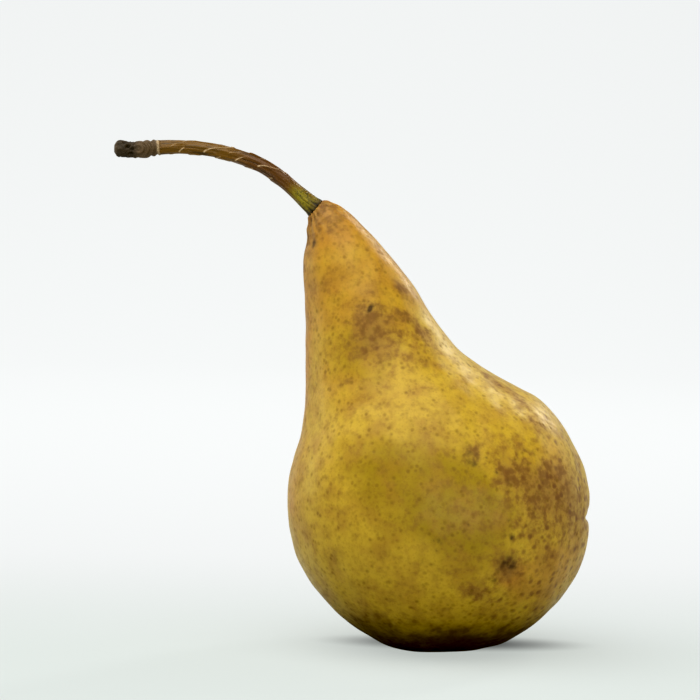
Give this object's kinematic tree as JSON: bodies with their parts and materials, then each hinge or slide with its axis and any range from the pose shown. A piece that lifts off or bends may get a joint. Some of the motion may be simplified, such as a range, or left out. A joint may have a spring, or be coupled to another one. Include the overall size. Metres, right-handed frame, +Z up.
{
  "type": "pear",
  "caption": "Ripe golden pear lying on its belly, with a swept neck, a long arched stem and a dried calyx in its lobed blossom basin.",
  "frame": {"origin": "a point in the flat spot that the fruit rests on, under its belly", "axes": "+Z up, +X towards the blossom end and away from the stem's tip, +Y across the fruit, away from the side that shows best"},
  "size_m": [0.112, 0.0666, 0.1169],
  "materials": {
    "skin": "half matt waxy fruit skin, golden ochre with a green cast, russet patches and fine brown dots",
    "stem": "glossy ochre-brown woody stem with lengthwise wrinkles and a dark dry tip",
    "calyx": "dry matt dark brown sepals"
  },
  "bodies": {
    "root": {"fruit": "skin", "stem": "stem", "calyx": "calyx"}
  },
  "joints": []
}
